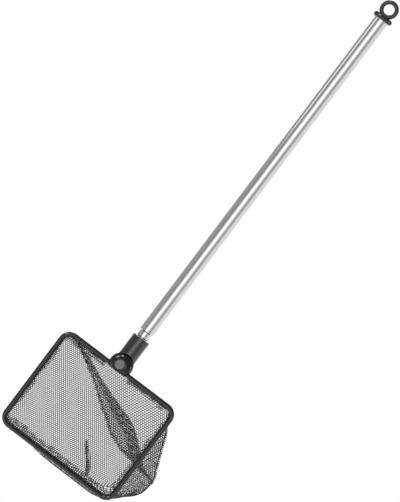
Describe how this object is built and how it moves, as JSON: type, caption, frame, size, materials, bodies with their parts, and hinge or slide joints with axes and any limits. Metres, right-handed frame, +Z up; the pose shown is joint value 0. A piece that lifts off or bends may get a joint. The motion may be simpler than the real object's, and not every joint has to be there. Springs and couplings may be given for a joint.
{
  "type": "aquarium fish net",
  "caption": "Aquarium fish net with a telescopic steel pole, hanging ring, swivel knuckle and a rectangular frame carrying a sagging mesh bag.",
  "frame": {"origin": "centre of the hanging ring's bore", "axes": "+Z up along the pole, +Y through the ring's bore towards the bag, the mouth of the net facing -Y"},
  "size_m": [0.0877, 0.0478, 0.3311],
  "materials": {
    "black_moulding": "semi-gloss moulded plastic",
    "polished_steel": "polished stainless tube",
    "shim_brass": "bright rolled strip",
    "rivet_steel": "dull zinc plate",
    "washer_nylon": "natural nylon",
    "wire_steel": "drawn wire",
    "sleeve_plastic": "soft extruded plastic",
    "netting": "knitted synthetic mesh"
  },
  "bodies": {
    "outer_pole": {"hang_cap": "black_moulding", "outer_tube": "polished_steel"},
    "mid_shims": {"mid_shim_left": "shim_brass", "mid_shim_right": "shim_brass"},
    "mid_section": {"mid_tube": "polished_steel"},
    "inner_shims": {"inner_shim_left": "shim_brass", "inner_shim_right": "shim_brass"},
    "inner_section": {"inner_tube": "polished_steel", "socket": "black_moulding"},
    "net_head": {"frame_knuckle": "black_moulding", "pivot_rivet": "rivet_steel", "friction_washer": "washer_nylon", "rivet_washer": "rivet_steel", "frame_wire": "wire_steel", "frame_sleeve": "sleeve_plastic", "net_hem": "netting", "net_upper_panel": "netting", "net_lower_panel": "netting"}
  },
  "joints": [
    {"name": "mid_slide", "type": "slide", "parent": "outer_pole", "child": "mid_shims", "axis": [0, 0, -1], "range_m": [0, 0.197]},
    {"name": "mid_twist", "type": "hinge", "parent": "mid_shims", "child": "mid_section", "pos_m": [0, 0, -0.0275], "axis": [0, 0, 1], "continuous": true},
    {"name": "inner_slide", "type": "slide", "parent": "mid_section", "child": "inner_shims", "axis": [0, 0, -1], "range_m": [0, 0.187]},
    {"name": "inner_twist", "type": "hinge", "parent": "inner_shims", "child": "inner_section", "pos_m": [0, 0, -0.0408], "axis": [0, 0, 1], "continuous": true},
    {"name": "head_swing", "type": "hinge", "parent": "inner_section", "child": "net_head", "pos_m": [0, 0, -0.25585], "axis": [0, 1, 0], "range_deg": [-50, 50]}
  ]
}
